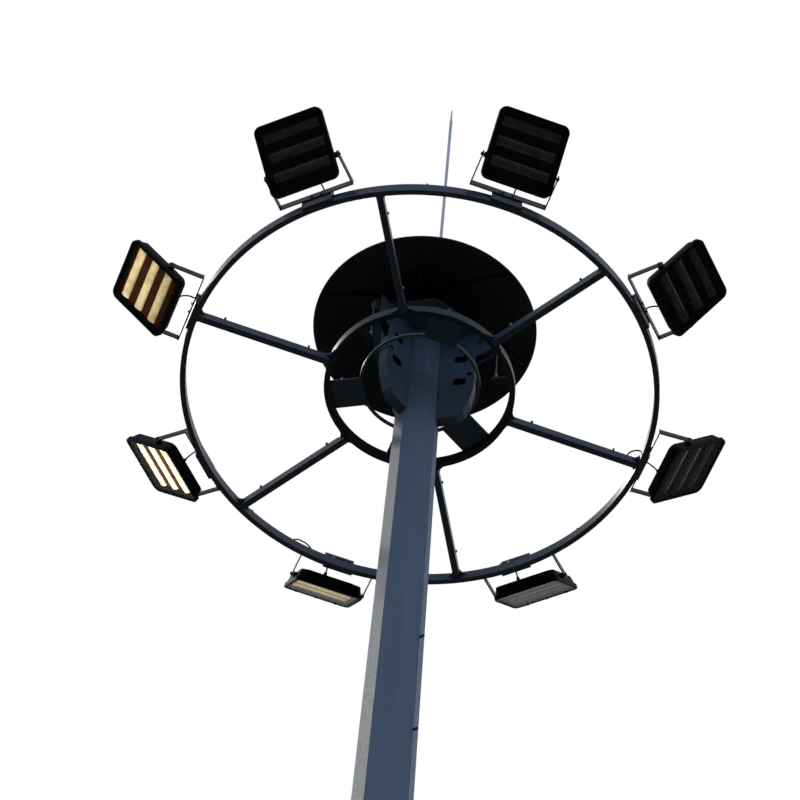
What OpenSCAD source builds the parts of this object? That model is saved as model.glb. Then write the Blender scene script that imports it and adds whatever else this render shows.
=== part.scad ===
// High mast floodlight tower with a lowering lamp carriage.
// Millimetres, +Z up, origin at the centre of the base flange's underside, -Y is the front.

/* [Mast] */
// Height of the lamp ring's middle plane when docked
ring_z = 19400; // [14000:10:24000]
// Top of the mast above the lamp ring's middle plane
head_rise = 420; // [380:1:520]
// Across flats of the mast at the base flange
base_af = 520; // [440:1:540]
// Across flats of the top section at its upper end
top_af = 196; // [170:1:230]
// Plate thickness of the mast sections
mast_wall = 6; // [4:0.5:10]
// Sideways clearance in each slip joint
slip_gap = 1; // [0.5:0.5:3]
// Lower end of the middle section
joint1_z = 6900; // [5000:10:8500]
// Lower end of the top section
joint2_z = 13600; // [11000:10:15500]
// Length of each slip joint
slip_len = 650; // [300:10:900]
// Thickness of the seat ring inside a slip joint
seat_t = 10; // [6:1:20]

/* [Base] */
// Diameter of the base flange
flange_d = 820; // [700:1:1000]
// Thickness of the base flange
flange_t = 32; // [20:1:50]
// Pitch circle of the anchor holes
anchor_pcd = 710; // [640:1:760]
// Diameter of each anchor hole
anchor_hole = 39; // [24:1:48]
// Height of the base gussets
gusset_h = 220; // [120:1:320]
// Thickness of the base gussets
gusset_t = 14; // [8:1:20]
// Reach of the base gussets from the mast axis
gusset_r = 395; // [330:1:405]

/* [Access door] */
// Lower edge of the door frame
door_z = 600; // [450:1:700]
// Width of the door frame
door_w = 190; // [140:1:205]
// Height of the door frame
door_h = 620; // [400:1:680]
// Face width of the frame's lip
door_lip = 12; // [8:1:20]
// Thickness of the frame's sides
door_side = 8; // [5:1:12]
// Gap round the door
door_gap = 3; // [2:0.5:6]
// Thickness of the door
door_t = 6; // [4:1:10]

/* [Head] */
// Reach of the cheek plates at the sheaves
cheek_r = 360; // [345:1:380]
// Reach of the cheek plates inside the guide ring
cheek_low_r = 284; // [250:1:285]
// Depth of the cheek plates below the lamp ring's plane
cheek_drop = 300; // [240:1:380]
// Thickness of each cheek plate
cheek_t = 8; // [5:1:12]
// Clear width between a pair of cheek plates
cheek_gap = 40; // [34:1:60]
// Lightening hole in each cheek plate
cheek_hole = 30; // [16:1:40]
// Lightening hole above the lamp ring's plane
hole_rise = 61; // [56:1:90]
// Radial length of each window in a cheek plate
window_l = 66; // [40:1:78]
// Height of each window in a cheek plate
window_h = 58; // [30:1:70]
// Upper window above the lamp ring's plane
window_rise = 198; // [150:1:205]
// Corner radius of the windows
window_c = 12; // [6:1:14]
// Thickness of the web that joins a pair of cheek plates
web_t = 8; // [5:1:12]
// Top of the web above the lamp ring's plane
web_rise = 150; // [80:1:180]
// Sheave diameter over its flanges
sheave_d = 168; // [140:1:176]
// Sheave width
sheave_w = 28; // [20:1:32]
// Depth of the rope groove
groove_depth = 10; // [9:0.5:14]
// Width of the rope groove
groove_w = 12; // [10:0.5:16]
// Sheave axle diameter
axle_d = 24; // [16:1:32]
// Sheave centre above the lamp ring's plane
sheave_rise = 335; // [310:1:345]
// Sheave centre from the mast axis
sheave_r = 310; // [300:1:325]
// Across flats of the head plate
head_plate_af = 520; // [420:1:600]
// Thickness of the head plate
head_plate_t = 12; // [8:1:20]

/* [Hood and lightning rod] */
// Outside radius of the hood's rim
hood_r = 575; // [500:1:650]
// Hood rim above the lamp ring's plane
hood_rise = 540; // [500:1:620]
// Height of the hood's straight lip
hood_lip = 12; // [6:1:24]
// Height of the hood's dome above its lip
hood_dome = 230; // [180:1:300]
// Sheet thickness of the hood
hood_t = 3; // [2:0.5:6]
// Depth of the hood ribs under the dome
arm_h = 40; // [20:1:50]
// Thickness of the hood ribs
arm_t = 6; // [4:1:12]
// Diameter of the hood post
post_d = 60; // [48:1:90]
// Diameter of the finial cap
cap_d = 150; // [130:1:220]
// Thickness of the finial cap
cap_t = 12; // [8:1:20]
// Diameter of the lightning rod
rod_d = 18; // [12:1:30]
// Length of the lightning rod
rod_len = 1930; // [1200:10:2600]
// Offset of the lightning rod from the mast axis
rod_off = 42; // [0:1:50]

/* [Lamp carriage] */
// Middle radius of the lamp ring
ring_r = 1200; // [1120:1:1300]
// Radial width of the lamp ring's tube
ring_w = 28; // [20:1:44]
// Height of the lamp ring's tube
ring_h = 55; // [44:1:70]
// Turn of the spokes from +X
spoke_turn = 30; // [30:1:30]
// Width of each spoke
spoke_w = 34; // [24:1:50]
// Height of each spoke
spoke_h = 46; // [30:1:54]
// Middle radius of the inner ring
inner_r = 470; // [460:1:520]
// Radial width of the inner ring
inner_w = 30; // [22:1:40]
// Inner ring below the lamp ring's plane
inner_low = 4; // [2:1:26]
// Inner ring above the lamp ring's plane
inner_high = 45; // [30:1:60]
// Middle radius of the guide ring
guide_r = 300; // [299:1:330]
// Bar size of the guide ring
guide_bar = 14; // [10:1:20]
// Width of each bridge plate
bridge_w = 170; // [120:1:220]
// Thickness of each bridge plate
bridge_t = 8; // [5:1:14]
// Docking post diameter
dock_d = 32; // [20:1:44]
// Docking post height
dock_h = 120; // [60:1:160]
// Docking post distance from the mast axis
dock_r = 400; // [380:1:420]
// Width of each rope lug
lug_w = 40; // [26:1:60]
// Thickness of each rope lug
lug_t = 20; // [12:1:30]
// Reach of each rope lug inside the rope's middle
lug_nose = 18; // [10:1:24]
// Rope diameter
rope_d = 8; // [6:0.5:9]

/* [Floodlights] */
// Turn of the first floodlight from +X
light_turn = 30; // [0:1:44]
// Tilt of the floodlights, 0 looks straight down
light_tilt = 43; // [10:1:60]
// Mounting pad thickness
pad_t = 12; // [6:1:20]
// Mounting pad width
pad_w = 160; // [80:1:200]
// Mounting pad below the lamp ring's plane
pad_low = 22; // [16:1:26]
// Mounting pad above the lamp ring's plane
pad_high = 72; // [66:1:90]
// Middle of the stirrup's base bar above the lamp ring's plane
bar_rise = 50; // [40:1:60]
// Stirrup bar thickness
bar_t = 7; // [5:1:10]
// Stirrup bar width
bar_w = 30; // [22:1:40]
// Inside width of the stirrup
stirrup_in = 386; // [380:1:420]
// Tilt pivot beyond the stirrup's base bar
pivot_reach = 163; // [150:1:200]
// Tilt pivot above the lamp ring's plane
pivot_rise = 65; // [50:1:110]
// Pivot stud diameter
stud_d = 12; // [8:1:18]
// Radial running clearance of the pivot stud
stud_clear = 0.05; // [0.02:0.01:0.1]
// Gap between a pivot boss and its stirrup arm
boss_gap = 6; // [5:0.5:8]
// Pivot boss diameter
boss_d = 30; // [22:1:40]
// Middle of the housing beyond the tilt pivot
lamp_ahead = 70; // [40:1:80]
// Bezel length along the tilt axis
bezel_w = 366; // [330:1:370]
// Bezel length across the tilt axis
bezel_l = 376; // [320:1:390]
// Bezel corner radius
bezel_c = 38; // [26:1:44]
// Bezel depth
bezel_d = 22; // [14:1:30]
// Bezel rim inside its edge
bezel_rim = 13; // [9:1:20]
// Front of the bezel below the tilt pivot
face_drop = 40; // [32:1:50]
// Glass thickness
glass_t = 5; // [4:0.5:8]
// Depth of the glass behind the bezel's front
glass_sink = 2; // [1:0.5:4]
// Gap round the glass
glass_gap = 1; // [0.5:0.5:2]
// Ledge that carries the glass
glass_ledge = 12; // [8:1:18]
// Depth of the lamp chamber behind the glass
chamber_d = 26; // [15:1:28]
// Inset of the housing's body from the bezel
body_inset = 6; // [5:1:16]
// Depth of the housing's body behind the bezel
body_d = 46; // [40:1:60]
// Share of the body's size left at its back
body_taper = 0.93; // [0.84:0.01:0.94]
// Cooling fin height
fin_h = 12; // [6:1:24]
// Cooling fin length
fin_l = 250; // [180:1:280]
// Cooling fin thickness
fin_t = 5; // [3:1:8]
// Cooling fin pitch
fin_pitch = 28; // [20:1:31]

/* [Hidden] */
$fn = 96;
flats = 8;
light_count = 8;
spoke_count = 6;
rope_count = 3;
fin_count = 9;
cut = 1;
flat_turn = 180 / flats;
mast_top = ring_z + head_rise;
slip_step = 2 * (mast_wall + slip_gap);
line_top_af = top_af - 2 * slip_step;
hood_z = ring_z + hood_rise;
hood_top = hood_z + hood_lip + hood_dome;
inner_in = inner_r - inner_w / 2;
inner_out = inner_r + inner_w / 2;
ring_in = ring_r - ring_w / 2;
ring_out = ring_r + ring_w / 2;
guide_in = guide_r - guide_bar / 2;
guide_out = guide_r + guide_bar / 2;
rope_r = sheave_r + sheave_d / 2 - groove_depth + rope_d / 2;
bar_r = ring_out + pad_t;
pivot_r = bar_r + bar_t + pivot_reach;
stirrup_out = stirrup_in + 2 * bar_t;
eye_d = bar_w + 8;
bezel_back = bezel_d - face_drop;
glass_seat = glass_sink + glass_t - face_drop;
glass_w = bezel_w - 2 * bezel_rim;
glass_l = bezel_l - 2 * bezel_rim;
body_back = bezel_back + body_d;
boss_end = stirrup_in / 2 - boss_gap;
stud_len = 20;
stud_end_gap = 2;
dome_steps = 10;
chamber_c = 10;

// Across flats of the lower section's line at a height
function line_af(z) = base_af + (line_top_af - base_af) * (z - flange_t) / (mast_top - flange_t);

module octagon(af) {
  rotate(flat_turn) circle(r = af / 2 / cos(flat_turn), $fn = flats);
}

// Tapered octagonal solid between two heights, grown by a step across flats
module mast_solid(z0, z1, step) {
  a0 = line_af(z0) + step;
  a1 = line_af(z1) + step;
  translate([0, 0, z0]) linear_extrude(height = z1 - z0, scale = a1 / a0) octagon(a0);
}

module mast_shell(z0, z1, step) {
  difference() {
    mast_solid(z0, z1, step);
    mast_solid(z0 - cut, z1 + cut, step - 2 * mast_wall);
  }
}

// Ring inside a section that rests on the top of the section below
module slip_seat(z, step) {
  difference() {
    mast_solid(z, z + seat_t, step - mast_wall);
    mast_solid(z - cut, z + seat_t + cut, step - slip_step - 3 * mast_wall);
  }
}

module ring_bar(r_in, r_out, z0, z1) {
  translate([0, 0, z0]) difference() {
    cylinder(r = r_out, h = z1 - z0);
    translate([0, 0, -cut]) cylinder(r = r_in, h = z1 - z0 + 2 * cut);
  }
}

module round_plate(w, l, c, h) {
  linear_extrude(height = h) round_square(w, l, c);
}

module round_square(w, l, c) {
  square([l - 2 * c, w], center = true);
  square([l, w - 2 * c], center = true);
  for (sx = [-1, 1]) for (sy = [-1, 1])
    translate([sx * (l / 2 - c), sy * (w / 2 - c)]) circle(r = c, $fn = 32);
}

module base_flange() color("#6d7681") difference() {
  cylinder(d = flange_d, h = flange_t);
  for (i = [0 : flats - 1])
    rotate(flat_turn + i * 360 / flats) translate([anchor_pcd / 2, 0, -cut])
      cylinder(d = anchor_hole, h = flange_t + 2 * cut);
}

module base_gussets() color("#66707c") difference() {
  for (i = [0 : flats - 1])
    rotate(i * 360 / flats) translate([0, gusset_t / 2, flange_t]) rotate([90, 0, 0])
      linear_extrude(height = gusset_t)
        polygon([[base_af / 4, 0], [gusset_r, 0], [gusset_r, gusset_h / 5],
          [base_af / 2 + gusset_t, gusset_h], [base_af / 4, gusset_h]]);
  mast_solid(flange_t, flange_t + gusset_h + cut, 0);
}

// Box through the front wall that the door frame fills
module door_block(w, z0, z1, y0, y1) {
  translate([-w / 2, y0, z0]) cube([w, y1 - y0, z1 - z0]);
}

function door_front() = -line_af(door_z) / 2 - door_side;
function door_back() = -line_af(door_z + door_h) / 2 + mast_wall + door_side;

module mast_lower() color("#66727f") difference() {
  mast_shell(flange_t, joint1_z + slip_len, 0);
  door_block(door_w, door_z, door_z + door_h, -base_af, 0);
}

module mast_middle() color("#66727f") union() {
  mast_shell(joint1_z, joint2_z + slip_len, slip_step);
  slip_seat(joint1_z + slip_len, slip_step);
}

module mast_upper() color("#66727f") union() {
  mast_shell(joint2_z, mast_top, 2 * slip_step);
  slip_seat(joint2_z + slip_len, 2 * slip_step);
}

module door_frame() color("#5f6a77") difference() {
  door_block(door_w, door_z, door_z + door_h, door_front(), door_back());
  door_block(door_w - 2 * door_side, door_z + door_side, door_z + door_h - door_side,
    door_front() - cut, door_front() + door_t);
  door_block(door_w - 2 * door_side - 2 * door_lip, door_z + door_side + door_lip,
    door_z + door_h - door_side - door_lip, door_front() - cut, door_back() + cut);
}

module access_door() color("#6d7884")
  door_block(door_w - 2 * door_side - 2 * door_gap, door_z + door_side + door_gap,
    door_z + door_h - door_side - door_gap, door_front(), door_front() + door_t);

// Lower edge of a cheek plate as shares of its lower reach and its drop
cheek_edge = [[0.72, -1], [0.84, -0.87], [0.935, -0.6], [1, -0.2]];

// Points of that edge, moved in by a depth
function cheek_line(depth) = concat([[0, depth - cheek_drop]],
  [for (e = cheek_edge) [e[0] * cheek_low_r - depth, e[1] * cheek_drop + depth]]);

module cheek_shape() {
  difference() {
    polygon(concat(cheek_line(0),
      [[cheek_low_r, sheave_rise - sheave_d * 0.7], [cheek_r, sheave_rise - sheave_d * 0.4],
        [cheek_r, head_rise], [0, head_rise]]));
    translate([sheave_r, sheave_rise]) circle(d = axle_d);
    translate([cheek_low_r - 0.87 * cheek_hole, hole_rise]) circle(d = cheek_hole);
    for (rise = [0, window_rise])
      translate([0.735 * cheek_low_r, rise]) round_square(window_h, window_l, window_c);
  }
}

// Bent strip along the lower edge that closes a pair of cheek plates
module web_shape() {
  inside = cheek_line(web_t);
  polygon(concat(cheek_line(0), [[cheek_low_r, web_rise], [cheek_low_r - web_t, web_rise]],
    [for (i = [len(inside) - 1 : -1 : 0]) inside[i]]));
}

module upright_plate(y, t) {
  translate([0, y + t / 2, ring_z]) rotate([90, 0, 0]) linear_extrude(height = t) children();
}

module head_cheeks() color("#55616e") difference() {
  for (i = [0 : rope_count - 1]) rotate(i * 360 / rope_count) union() {
    for (side = [-1, 1]) upright_plate(side * (cheek_gap + cheek_t) / 2, cheek_t) cheek_shape();
    upright_plate(0, cheek_gap + cheek_t) web_shape();
  }
  mast_solid(joint2_z + slip_len, mast_top + cut, 2 * slip_step);
}

module sheaves() color("#3d444d")
  for (i = [0 : rope_count - 1]) rotate(i * 360 / rope_count)
    translate([sheave_r, 0, ring_z + sheave_rise]) rotate([90, 0, 0]) union() {
      difference() {
        cylinder(d = sheave_d, h = sheave_w, center = true);
        difference() {
          cylinder(d = sheave_d + 2 * cut, h = groove_w, center = true);
          cylinder(d = sheave_d - 2 * groove_depth, h = groove_w + 2 * cut, center = true);
        }
      }
      cylinder(d = axle_d, h = cheek_gap + 2 * cheek_t + axle_d, center = true);
    }

module head_plate() color("#505b67")
  translate([0, 0, mast_top]) linear_extrude(height = head_plate_t) octagon(head_plate_af);

module hood_post() color("#505b67")
  translate([0, 0, mast_top + head_plate_t])
    cylinder(d = post_d, h = hood_top - mast_top - head_plate_t);

// Outline under a dome that rises from the rim's radius to the post
function dome(r, z) = [for (i = [0 : dome_steps])
  let (d = r + (post_d / 2 - r) * i / dome_steps)
  [d, z + hood_dome * (1 - pow((d - post_d / 2) / (r - post_d / 2), 2))]];

// Space under the hood's sheet, lowered by a depth
module under_dome(depth) {
  rotate_extrude() polygon(concat([[post_d / 2, -hood_rise]], [[hood_r - hood_t, -hood_rise]],
    dome(hood_r - hood_t, hood_lip - hood_t - depth)));
}

module hood_arms() color("#2a2f36") translate([0, 0, hood_z]) intersection() {
  for (i = [0 : spoke_count - 1]) rotate(spoke_turn + i * 360 / spoke_count)
    translate([0, -arm_t / 2, hood_t]) cube([hood_r, arm_t, hood_lip + hood_dome]);
  difference() {
    under_dome(0);
    under_dome(arm_h);
  }
}

module hood() color("#1d2228") translate([0, 0, hood_z]) rotate_extrude()
  polygon(concat([[hood_r - hood_t, 0], [hood_r, 0]], dome(hood_r, hood_lip),
    [for (i = [dome_steps : -1 : 0]) dome(hood_r - hood_t, hood_lip - hood_t)[i]]));

module finial_cap() color("#3f4853")
  translate([0, 0, hood_top]) cylinder(d = cap_d, h = cap_t);

module lightning_rod() color("#7c838a")
  translate([rod_off, 0, hood_top + cap_t]) cylinder(d = rod_d, h = rod_len);

module hoist_ropes() color("#4a4d50")
  for (i = [0 : rope_count - 1]) rotate(i * 360 / rope_count)
    translate([rope_r, 0, ring_z + lug_t]) cylinder(d = rope_d, h = sheave_rise - lug_t, $fn = 24);

module lamp_ring() color("#20262f")
  ring_bar(ring_in, ring_out, ring_z - ring_h / 2, ring_z + ring_h / 2);

module spokes() color("#20262f") intersection() {
  for (i = [0 : spoke_count - 1]) rotate(spoke_turn + i * 360 / spoke_count)
    translate([0, -spoke_w / 2, ring_z - spoke_h / 2]) cube([ring_r, spoke_w, spoke_h]);
  ring_bar(inner_out, ring_in, ring_z - ring_h, ring_z + ring_h);
}

module inner_ring() color("#20262f")
  ring_bar(inner_in, inner_out, ring_z - inner_low, ring_z + inner_high);

// Places children at the middle of every other bay between spokes
module at_bays() {
  for (i = [0 : rope_count - 1]) rotate(60 + i * 360 / rope_count) children();
}

module bridge_plates() color("#262d36") at_bays()
  translate([guide_in - 8, -bridge_w / 2, ring_z + inner_high])
    cube([inner_r - guide_in, bridge_w, bridge_t]);

module guide_ring() color("#343c46")
  ring_bar(guide_in, guide_out, ring_z + inner_high + bridge_t,
    ring_z + inner_high + bridge_t + guide_bar);

module docking_posts() color("#2c333d") at_bays()
  translate([dock_r, 0, ring_z + inner_high + bridge_t]) cylinder(d = dock_d, h = dock_h);

module rope_lugs() color("#2c333d") intersection() {
  for (i = [0 : rope_count - 1]) rotate(i * 360 / rope_count)
    translate([rope_r - lug_nose, -lug_w / 2, ring_z]) cube([inner_r, lug_w, lug_t]);
  translate([0, 0, ring_z - cut]) cylinder(r = inner_in, h = lug_t + 2 * cut);
}

module at_light(i) {
  rotate(light_turn + (i - 1) * 360 / light_count) translate([0, 0, ring_z]) children();
}

module lamp_pads() color("#2c333d") difference() {
  for (i = [1 : light_count]) at_light(i)
    translate([ring_r, -pad_w / 2, -pad_low]) cube([bar_r - ring_r, pad_w, pad_low + pad_high]);
  translate([0, 0, ring_z - ring_h]) cylinder(r = ring_out, h = 2 * ring_h, $fn = 720);
}

// One arm of a stirrup, cut off at the back of the base bar, with its pivot stud
module stirrup_arm(side) {
  reach = sqrt(pow(pivot_reach + bar_t / 2, 2) + pow(pivot_rise - bar_rise, 2));
  rise = atan2(pivot_rise - bar_rise, pivot_reach + bar_t / 2);
  intersection() {
    translate([pivot_r, side * (stirrup_in + bar_t) / 2, pivot_rise]) rotate([0, -rise, 0])
      translate([-reach, -bar_t / 2, -bar_w / 2]) cube([reach, bar_t, bar_w]);
    translate([bar_r, -stirrup_out, -pivot_reach]) cube([2 * pivot_reach, 2 * stirrup_out, 2 * pivot_reach]);
  }
  translate([pivot_r, side * (stirrup_in + bar_t) / 2, pivot_rise]) rotate([90, 0, 0])
    cylinder(d = eye_d, h = bar_t, center = true);
  translate([pivot_r, side * (stirrup_in / 2 - stud_len / 2 + bar_t / 2), pivot_rise]) rotate([90, 0, 0])
    cylinder(d = stud_d, h = stud_len + bar_t, center = true);
}

module stirrups() color("#3a434e") for (i = [1 : light_count]) at_light(i) union() {
  translate([bar_r, -stirrup_out / 2, bar_rise - eye_d / 2]) cube([bar_t, stirrup_out, eye_d]);
  for (side = [-1, 1]) stirrup_arm(side);
}

// Places children in a floodlight's own frame, pivot at the origin, looking along -Z
module at_lamp(i) {
  at_light(i) translate([pivot_r, 0, pivot_rise]) rotate([0, -light_tilt, 0]) children();
}

module housing(i) color("#15181d") at_lamp(i) difference() {
  union() {
    translate([lamp_ahead, 0, -face_drop]) round_plate(bezel_w, bezel_l, bezel_c, bezel_d);
    translate([lamp_ahead, 0, bezel_back]) linear_extrude(height = body_d, scale = body_taper)
      round_square(bezel_w - 2 * body_inset, bezel_l - 2 * body_inset, bezel_c - body_inset / 2);
    for (f = [0 : fin_count - 1])
      translate([lamp_ahead + (f - (fin_count - 1) / 2) * fin_pitch - fin_t / 2, -fin_l / 2, body_back - cut])
        cube([fin_t, fin_l, fin_h + cut]);
    rotate([90, 0, 0]) cylinder(d = boss_d, h = 2 * boss_end, center = true);
  }
  translate([lamp_ahead, 0, -face_drop - cut])
    round_plate(glass_w, glass_l, bezel_c - bezel_rim, glass_sink + glass_t + cut);
  translate([lamp_ahead, 0, -face_drop - cut])
    round_plate(glass_w - 2 * glass_ledge, glass_l - 2 * glass_ledge, chamber_c,
      glass_sink + glass_t + chamber_d + cut);
  for (side = [-1, 1])
    translate([0, side * (stirrup_in / 2 - stud_len / 2 - stud_end_gap / 2), 0]) rotate([90, 0, 0])
      cylinder(d = stud_d + 2 * stud_clear, h = stud_len + stud_end_gap, center = true);
}

module glass(i) color("#22262b") at_lamp(i)
  translate([lamp_ahead, 0, glass_seat - glass_t])
    round_plate(glass_w - 2 * glass_gap, glass_l - 2 * glass_gap, bezel_c - bezel_rim - glass_gap, glass_t);

base_flange();
base_gussets();
mast_lower();
mast_middle();
mast_upper();
door_frame();
access_door();
head_cheeks();
sheaves();
head_plate();
hood_post();
hood_arms();
hood();
finial_cap();
lightning_rod();
hoist_ropes();
lamp_ring();
spokes();
inner_ring();
bridge_plates();
guide_ring();
docking_posts();
rope_lugs();
lamp_pads();
stirrups();
housing(1);  // housing_1
housing(2);  // housing_2
housing(3);  // housing_3
housing(4);  // housing_4
housing(5);  // housing_5
housing(6);  // housing_6
housing(7);  // housing_7
housing(8);  // housing_8
glass(1);  // glass_1
glass(2);  // glass_2
glass(3);  // glass_3
glass(4);  // glass_4
glass(5);  // glass_5
glass(6);  // glass_6
glass(7);  // glass_7
glass(8);  // glass_8
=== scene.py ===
"""High mast floodlight tower: finishes, light strips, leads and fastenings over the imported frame."""
from math import cos, pi, radians, sin

import bmesh
import bpy
from mathutils import Matrix, Vector


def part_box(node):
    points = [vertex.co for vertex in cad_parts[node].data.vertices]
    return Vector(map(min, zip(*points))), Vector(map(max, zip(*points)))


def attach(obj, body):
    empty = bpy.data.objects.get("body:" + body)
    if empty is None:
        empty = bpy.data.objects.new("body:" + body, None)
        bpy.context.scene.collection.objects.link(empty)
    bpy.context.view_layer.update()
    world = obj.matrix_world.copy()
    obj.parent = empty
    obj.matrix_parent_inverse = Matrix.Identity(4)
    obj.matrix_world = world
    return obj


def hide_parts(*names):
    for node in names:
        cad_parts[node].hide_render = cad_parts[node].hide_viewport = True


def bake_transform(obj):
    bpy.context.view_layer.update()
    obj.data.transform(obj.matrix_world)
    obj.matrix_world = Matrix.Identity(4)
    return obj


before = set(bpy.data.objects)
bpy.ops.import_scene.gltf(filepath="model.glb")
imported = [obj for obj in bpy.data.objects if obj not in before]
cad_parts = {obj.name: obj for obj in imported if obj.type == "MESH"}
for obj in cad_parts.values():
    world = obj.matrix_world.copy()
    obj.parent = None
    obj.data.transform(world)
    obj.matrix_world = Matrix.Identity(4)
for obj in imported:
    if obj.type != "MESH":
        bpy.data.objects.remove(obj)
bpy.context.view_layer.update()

# Places and turns that the part's source fixes, in metres and radians
RING_Z = 19.4
RING_RADIUS = 1.2
RING_TOP = 0.0275
LIGHT_COUNT = 8
LIGHT_TURN = radians(30)
LIGHT_TILT = radians(43)
BAR_FACE = 1.233
BAR_RISE = 0.050
PIVOT_RADIUS = 1.396
PIVOT_RISE = 0.065
STIRRUP_HALF = 0.193
LAMP_AHEAD = 0.070
BAR_THICK = 0.007
FACE_DROP = 0.040
CHAMBER_FLOOR = -0.007
CHAMBER_W = 0.316
CHAMBER_L = 0.326
BODY_BACK = 0.028
ROPE_COUNT = 3
ROPE_RADIUS = 0.388
ROPE_HALF = 0.004
ROPE_LOW = 0.020
ROPE_HIGH = 0.335
HOOD_RADIUS = 0.575
HOOD_RISE = 0.540
SHEAVE_RADIUS = 0.310
SHEAVE_RISE = 0.335
CHEEK_HALF = 0.028
ROD_OFFSET = 0.042


# Camera

CAMERA_AZIMUTH = radians(13.7)
CAMERA_STEEPNESS = radians(55.0)
CAMERA_DISTANCE = 21.7
CAMERA_ROLL = radians(-5.15)
CAMERA_PAN = radians(-0.246)
CAMERA_NOD = radians(-0.150)
SENSOR_WIDTH = 36.0
FOCAL_LENGTH = 193.05
CLIP_NEAR = 0.1
CLIP_FAR = 200.0


def set_camera():
    right = Vector((cos(CAMERA_AZIMUTH), sin(CAMERA_AZIMUTH), 0))
    flat = Vector((-sin(CAMERA_AZIMUTH), cos(CAMERA_AZIMUTH), 0))
    forward = flat * cos(CAMERA_STEEPNESS) + Vector((0, 0, sin(CAMERA_STEEPNESS)))
    up = right.cross(forward)
    aim = Matrix((right, up, -forward)).transposed()
    aim = aim @ Matrix.Rotation(-CAMERA_PAN, 3, "Y")
    aim = aim @ Matrix.Rotation(CAMERA_NOD, 3, "X")
    aim = aim @ Matrix.Rotation(-CAMERA_ROLL, 3, "Z")
    data = bpy.data.cameras.new("photo_camera")
    data.sensor_width = SENSOR_WIDTH
    data.lens = FOCAL_LENGTH
    data.clip_start = CLIP_NEAR
    data.clip_end = CLIP_FAR
    camera = bpy.data.objects.new("photo_camera", data)
    bpy.context.scene.collection.objects.link(camera)
    place = Vector((0, 0, RING_Z)) - forward * CAMERA_DISTANCE
    camera.matrix_world = Matrix.Translation(place) @ aim.to_4x4()
    bpy.context.scene.camera = camera


set_camera()


# Light and stage

SUN_TURN = radians(152)
SUN_HEIGHT = radians(52)
SUN_STRENGTH = 0.7
SUN_SIZE = radians(4)
SUN_COLOUR = (1.0, 0.92, 0.76)
SUN_REACH = 30
SKY_SHADE = (0.21, 0.335, 0.59, 1)
GROUND_SHADE = (0.015, 0.015, 0.015, 1)
MIRROR_DARK = (0.035, 0.036, 0.036, 1)
MIRROR_PALE = (0.24, 0.20, 0.13, 1)
PATCH_SCALE = 7.0
PATCH_DETAIL = 5.0
PATCH_STEPS = (0.42, 0.66)
SHADE_HORIZON = (-0.08, 0.12)
MIRROR_HORIZON = (0.12, 0.40)
FLOOR_RADIUS = 4.5
FLOOR_SIDES = 96
FLOOR_ROUGHNESS = 0.9
FLOOR_COLOUR = (0.80, 0.80, 0.79, 1)
FLOOR_LIFT = (0.42, 0.34, 0.15, 1)
FLOOR_LIFT_STRENGTH = 1.0
WHITE = (1, 1, 1, 1)


def horizon_blend(nodes, links, height, horizon, high):
    climb = nodes.new("ShaderNodeMapRange")
    climb.inputs["From Min"].default_value = horizon[0]
    climb.inputs["From Max"].default_value = horizon[1]
    mix = nodes.new("ShaderNodeMix")
    mix.data_type = "RGBA"
    mix.inputs["B"].default_value = high
    background = nodes.new("ShaderNodeBackground")
    links.new(height, climb.inputs["Value"])
    links.new(climb.outputs["Result"], mix.inputs["Factor"])
    links.new(mix.outputs["Result"], background.inputs["Color"])
    return mix.inputs["A"], background.outputs[0]


def set_ramp(ramp, steps, colours):
    for stop, step, colour in zip(ramp.elements, steps, colours):
        stop.position = step
        stop.color = colour


def ground_patches(nodes, links, direction):
    patch = nodes.new("ShaderNodeTexNoise")
    patch.inputs["Scale"].default_value = PATCH_SCALE
    patch.inputs["Detail"].default_value = PATCH_DETAIL
    tone = nodes.new("ShaderNodeValToRGB")
    set_ramp(tone.color_ramp, PATCH_STEPS, (MIRROR_DARK, MIRROR_PALE))
    links.new(direction, patch.inputs["Vector"])
    links.new(patch.outputs["Fac"], tone.inputs["Fac"])
    return tone.outputs["Color"]


def set_world():
    world = bpy.data.worlds.new("pale_sky")
    bpy.context.scene.world = world
    world.use_nodes = True
    nodes = world.node_tree.nodes
    links = world.node_tree.links
    nodes.clear()
    out = nodes.new("ShaderNodeOutputWorld")
    mirrored = nodes.new("ShaderNodeMixShader")
    seen = nodes.new("ShaderNodeMixShader")
    white = nodes.new("ShaderNodeBackground")
    path = nodes.new("ShaderNodeLightPath")
    direct = nodes.new("ShaderNodeMath")
    direct.operation = "MAXIMUM"
    coords = nodes.new("ShaderNodeTexCoord")
    split = nodes.new("ShaderNodeSeparateXYZ")
    white.inputs["Color"].default_value = WHITE
    links.new(coords.outputs["Generated"], split.inputs[0])
    links.new(path.outputs["Is Glossy Ray"], mirrored.inputs["Fac"])
    shade, dull = horizon_blend(nodes, links, split.outputs["Z"], SHADE_HORIZON, SKY_SHADE)
    shade.default_value = GROUND_SHADE
    links.new(dull, mirrored.inputs[1])
    patches, shiny = horizon_blend(nodes, links, split.outputs["Z"], MIRROR_HORIZON, WHITE)
    links.new(ground_patches(nodes, links, coords.outputs["Generated"]), patches)
    links.new(shiny, mirrored.inputs[2])
    links.new(path.outputs["Is Camera Ray"], direct.inputs[0])
    links.new(path.outputs["Is Transmission Ray"], direct.inputs[1])
    links.new(direct.outputs[0], seen.inputs["Fac"])
    links.new(mirrored.outputs[0], seen.inputs[1])
    links.new(white.outputs[0], seen.inputs[2])
    links.new(seen.outputs[0], out.inputs["Surface"])


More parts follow.
